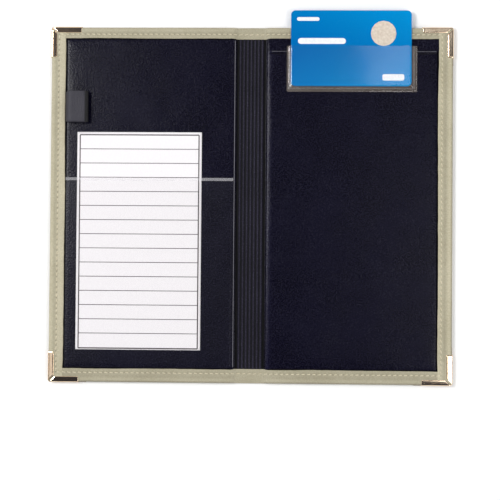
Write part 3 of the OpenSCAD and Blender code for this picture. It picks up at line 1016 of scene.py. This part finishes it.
def inset_ring(low, high, inset, r, steps, z):
    outline = rounded_box(low[0] + inset, high[0] - inset, low[1] + inset, high[1] - inset, r, steps)
    return np.column_stack([outline, np.full(len(outline), z)])


def thin_strip(name, x0, x1, y0, y1, z, material, r, thick):
    """A thin closed sheet with rounded corners: a painted highlight along a fold, a printed mark or the
    card pocket's back.
    """
    build = Build()
    steps = [(0.0, 0.0), (0.0, thick * 0.6), (0.05, thick * 0.9), (0.12, thick)]
    build.rings([inset_ring((x0, y0), (x1, y1), d, max(0.1, r - d), 4, z + h) for d, h in steps])
    obj = piece(name, build, material)
    recalc(obj)
    return obj


def payment_card():
    build = Build()
    z0, z1 = card_low[2], card_high[2]
    bevel = [(0.14, z0), (0.04, z0 + 0.04), (0.0, z0 + 0.14)]
    bevel += [(0.0, z1 - 0.14), (0.04, z1 - 0.04), (0.14, z1), (0.5, z1)]
    build.rings([inset_ring(card_low, card_high, d, CARD_R - d, 8, z) for d, z in bevel])
    obj = piece("payment_card_blank", build, CARD)
    recalc(obj)
    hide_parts("payment_card")
    return obj


def card_mark(name, x, y, w, h, material, r):
    """A plain raised mark on the card, placed from its lower left corner."""
    x0, y0 = card_low[0] + x, card_low[1] + y
    return thin_strip(name, x0, x0 + w, y0, y0 + h, card_high[2], material, r, 0.03)


def rim(index):
    """Points round the edge of a grid, once each."""
    return [*index[:, 0], *index[-1, 1:], *index[-2::-1, -1], *index[0, -2:0:-1]]


def check_height(x, y):
    return check_low[2] + 0.04 + 0.035 * (ripple(x, y, 70, 31) + 1)


def check_slip():
    build = Build()
    xs, ys = np.linspace(check_low[0], check_high[0], 46), np.linspace(check_low[1], check_high[1], 78)
    X, Y = np.meshgrid(xs, ys, indexing="ij")
    Z = check_height(X, Y)
    top = rim(build.grid(np.stack([X, Y, Z], axis=2)))
    # The under side is laid the other way round, so that it faces down
    under = rim(build.grid(np.stack([X, Y, Z - 0.05], axis=2)[::-1])[::-1])
    for k in range(len(top)):
        n = (k + 1) % len(top)
        build.faces.append((top[k], under[k], under[n], top[n]))
    obj = piece("guest_check_slip", build, PAPER)
    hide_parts("guest_check")
    return obj


def check_ruling():
    """A frame and evenly spaced rows, printed on the slip."""
    build = Build()
    inset, row = 2.0, 10.1
    x0, x1 = check_low[0] + inset, check_high[0] - inset
    y0, y1 = check_low[1] + 1.0, check_high[1] - inset

    def line(ax, ay, bx, by, width):
        length = math.hypot(bx - ax, by - ay)
        t = np.linspace(0, 1, max(2, int(length / 3)))
        nx, ny = -(by - ay) / length * width / 2, (bx - ax) / length * width / 2
        cx, cy = ax + (bx - ax) * t, ay + (by - ay) * t
        z = check_height(cx, cy) + 0.012
        sides = [np.stack([cx + s * nx, cy + s * ny, z], axis=1) for s in (1, -1)]
        build.grid(np.stack(sides, axis=1))

    for ax, ay, bx, by in ((x0, y0, x1, y0), (x1, y0, x1, y1), (x1, y1, x0, y1), (x0, y1, x0, y0)):
        line(ax, ay, bx, by, 0.85)
    for k in range(1, int((y1 - y0 - 2) / row) + 1):
        line(x0, y1 - k * row, x1, y1 - k * row, 0.5)
    return piece("guest_check_ruling", build, INK, flip=True)


# ---- assembly
for cover, body, seam, seed in (("back", BACK, BACK_SEAM_IN, 11), ("front", FRONT, FRONT_SEAM_IN, 23)):
    leather = cover_leather(f"{cover}_leather", body, seam, seed)
    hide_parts(f"{cover}_cover_skin")
    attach(leather, body)
    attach(lining_sheet(f"{cover}_lining_sheet", f"{cover}_lining"), body)
    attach(cover_stitches(f"{cover}_stitches", f"{cover}_stitching", seam), body)
    for end in ("top", "bottom"):
        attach(metal_corner(f"{cover}_{end}_corner", body, end, LEANS[cover, end]), body)
    board = frame["nodes"][f"{cover}_board"]
    board.data.materials.clear()
    board.data.materials.append(BOARD)

for cover, body, top, seed, open_top, steps, fold in (
        ("back", BACK, panel_high[1], 41, True, SOFT_STEPS, 1.2),
        ("front", FRONT, FRONT_PANEL_TOP, 53, False, EDGE_STEPS, 0.0)):
    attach(panel_sheet(f"{cover}_panel", f"{cover}_pocket_panel", top, seed, open_top, steps, fold), body)
    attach(panel_border(f"{cover}_panel_border", top, open_top), body)
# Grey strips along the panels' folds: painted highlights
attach(thin_strip("front_panel_fold_highlight", -PANEL_X0 - 0.5, -PANEL_X0 + 0.04, WINDOW_Y0 + GROOVE + 0.6,
                   FRONT_PANEL_TOP - 0.8, FOLD_Z, FOLD_HIGHLIGHT, 0.25, 0.36), FRONT)
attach(thin_strip("back_panel_fold_highlight", PANEL_X0 + 3.0, PANEL_X1 - 0.6, panel_high[1] - 0.55,
                   panel_high[1] - 0.15, FOLD_Z, FOLD_HIGHLIGHT, 0.18, 0.34), BACK)
spine_leather()
spine_ribs()
spine_stitches()
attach(pen_loop(), FRONT)

check_sheet = film_sheet("check_pocket_sheet", "check_pocket_film", film_low, film_high, weld=1.5,
                         top_z=film_high[2] - 0.1, border_z=film_low[2] + 0.03, seed=61, waves=0.03,
                         material=CHECK_FILM)
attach(check_sheet, FRONT)
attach(film_hem("check_pocket_hem", film_low[0], film_high[0], film_high[1] - 2.1, film_high[1],
                 film_high[2] + 0.02), FRONT)
card_sheet = film_sheet("card_pocket_sheet", "card_pocket_film", pocket_low, pocket_high, weld=2.4,
                        top_z=pocket_high[2] - 0.1, border_z=backing_high[2] + 0.02, seed=67, waves=0.02,
                        material=FILM)
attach(card_sheet, BACK)
backing = thin_strip("card_pocket_back_sheet", backing_low[0], backing_high[0], backing_low[1],
                     backing_high[1], backing_low[2], BACKING, 0.8,
                     backing_high[2] - backing_low[2])
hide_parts("card_pocket_backing")
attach(backing, BACK)

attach(payment_card(), "payment_card")
card_h = card_high[1] - card_low[1]
for mark in (card_mark("card_mark_short", 4.2, card_h - 7.5, 16.0, 2.6, WHITE_PRINT, 1.2),
             card_mark("card_mark_long", 5.0, card_h - 24.0, 34.0, 4.2, WHITE_PRINT, 2.0),
             card_mark("card_mark_round", 56.7, card_h - 25.4, 18.0, 18.0, BEIGE_PRINT, 8.9),
             card_mark("card_mark_low", 65.0, 4.0, 15.5, 4.6, WHITE_PRINT, 1.4)):
    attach(mark, "payment_card")
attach(check_slip(), "guest_check")
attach(check_ruling(), "guest_check")


# ---- stage, light and camera
def floor():
    build = Build()
    half = 4000
    line = np.linspace(-half, half, 9)
    X, Y = np.meshgrid(line, line, indexing="ij")
    build.grid(np.stack([X, Y, np.full(X.shape, -0.02)], axis=2))
    s = Shader("floor_white")
    s.set(Base_Color=s.ramp(s.noise(4, 2), [(0.3, (0.93, 0.93, 0.93)), (0.7, (0.95, 0.95, 0.95))]),
          Roughness=0.9, Specular_IOR_Level=0.0)
    obj = piece("floor", build, s.material)


def soft_light(name, place, target, width, height, watts):
    data = bpy.data.lights.new(name, "AREA")
    data.shape = "RECTANGLE"
    data.size, data.size_y = width, height
    data.energy = watts
    obj = add_object(name, data)
    obj.location = place
    obj.rotation_euler = (Vector(target) - Vector(place)).to_track_quat("-Z", "Y").to_euler()


def world():
    """Studio surroundings: bright below and round the horizon, and dark overhead."""
    made = bpy.data.worlds.new("studio")
    bpy.context.scene.world = made
    made.use_nodes = True
    tree = made.node_tree
    background = tree.nodes["Background"]
    place = tree.nodes.new("ShaderNodeTexCoord")
    split = tree.nodes.new("ShaderNodeSeparateXYZ")
    ramp = tree.nodes.new("ShaderNodeValToRGB")
    tree.links.new(place.outputs["Generated"], split.inputs[0])
    tree.links.new(split.outputs["Z"], ramp.inputs["Fac"])
    tree.links.new(ramp.outputs["Color"], background.inputs["Color"])
    stops = ramp.color_ramp.elements
    stops[0].position, stops[0].color = 0.55, (1.0, 1.0, 1.0, 1)
    stops[1].position, stops[1].color = 0.80, (0.03, 0.03, 0.04, 1)
    background.inputs["Strength"].default_value = 0.95


def camera():
    data = bpy.data.cameras.new("camera")
    data.lens = 100
    data.sensor_width = 36
    data.clip_end = 20
    obj = add_object("camera", data)
    obj.location = (0.0349, -0.0621, 0.9891)
    obj.rotation_euler = [math.radians(a) for a in (1.422, 2.016, 0.465)]
    bpy.context.scene.camera = obj


floor()
world()
soft_light("key", (-0.70, 0.24, 1.08), (0, 0, 0), 0.36, 0.4, 9.8)
soft_light("fill", (0.68, -0.36, 0.97), (0, 0, 0), 0.45, 0.45, 4.0)
soft_light("back", (0.25, 0.86, 0.95), (0.1, 0, 0), 1.2, 0.5, 1.2)
soft_light("corner", (0.27, 0.35, 1.0), (0.27, 0.35, 0), 0.14, 0.12, 0.035)
soft_light("low glow", (-0.50, -0.18, 1.0), (-0.50, -0.18, 0), 0.14, 0.18, 0.08)
soft_light("side glow", (0.30, 0.00, 1.0), (0.30, 0.00, 0), 0.12, 0.34, 0.5)
soft_light("glare", (0.167, 0.245, 1.0), (0.167, 0.245, 0), 0.076, 0.11, 0.055)
camera()
bpy.context.scene.view_settings.view_transform = "Standard"
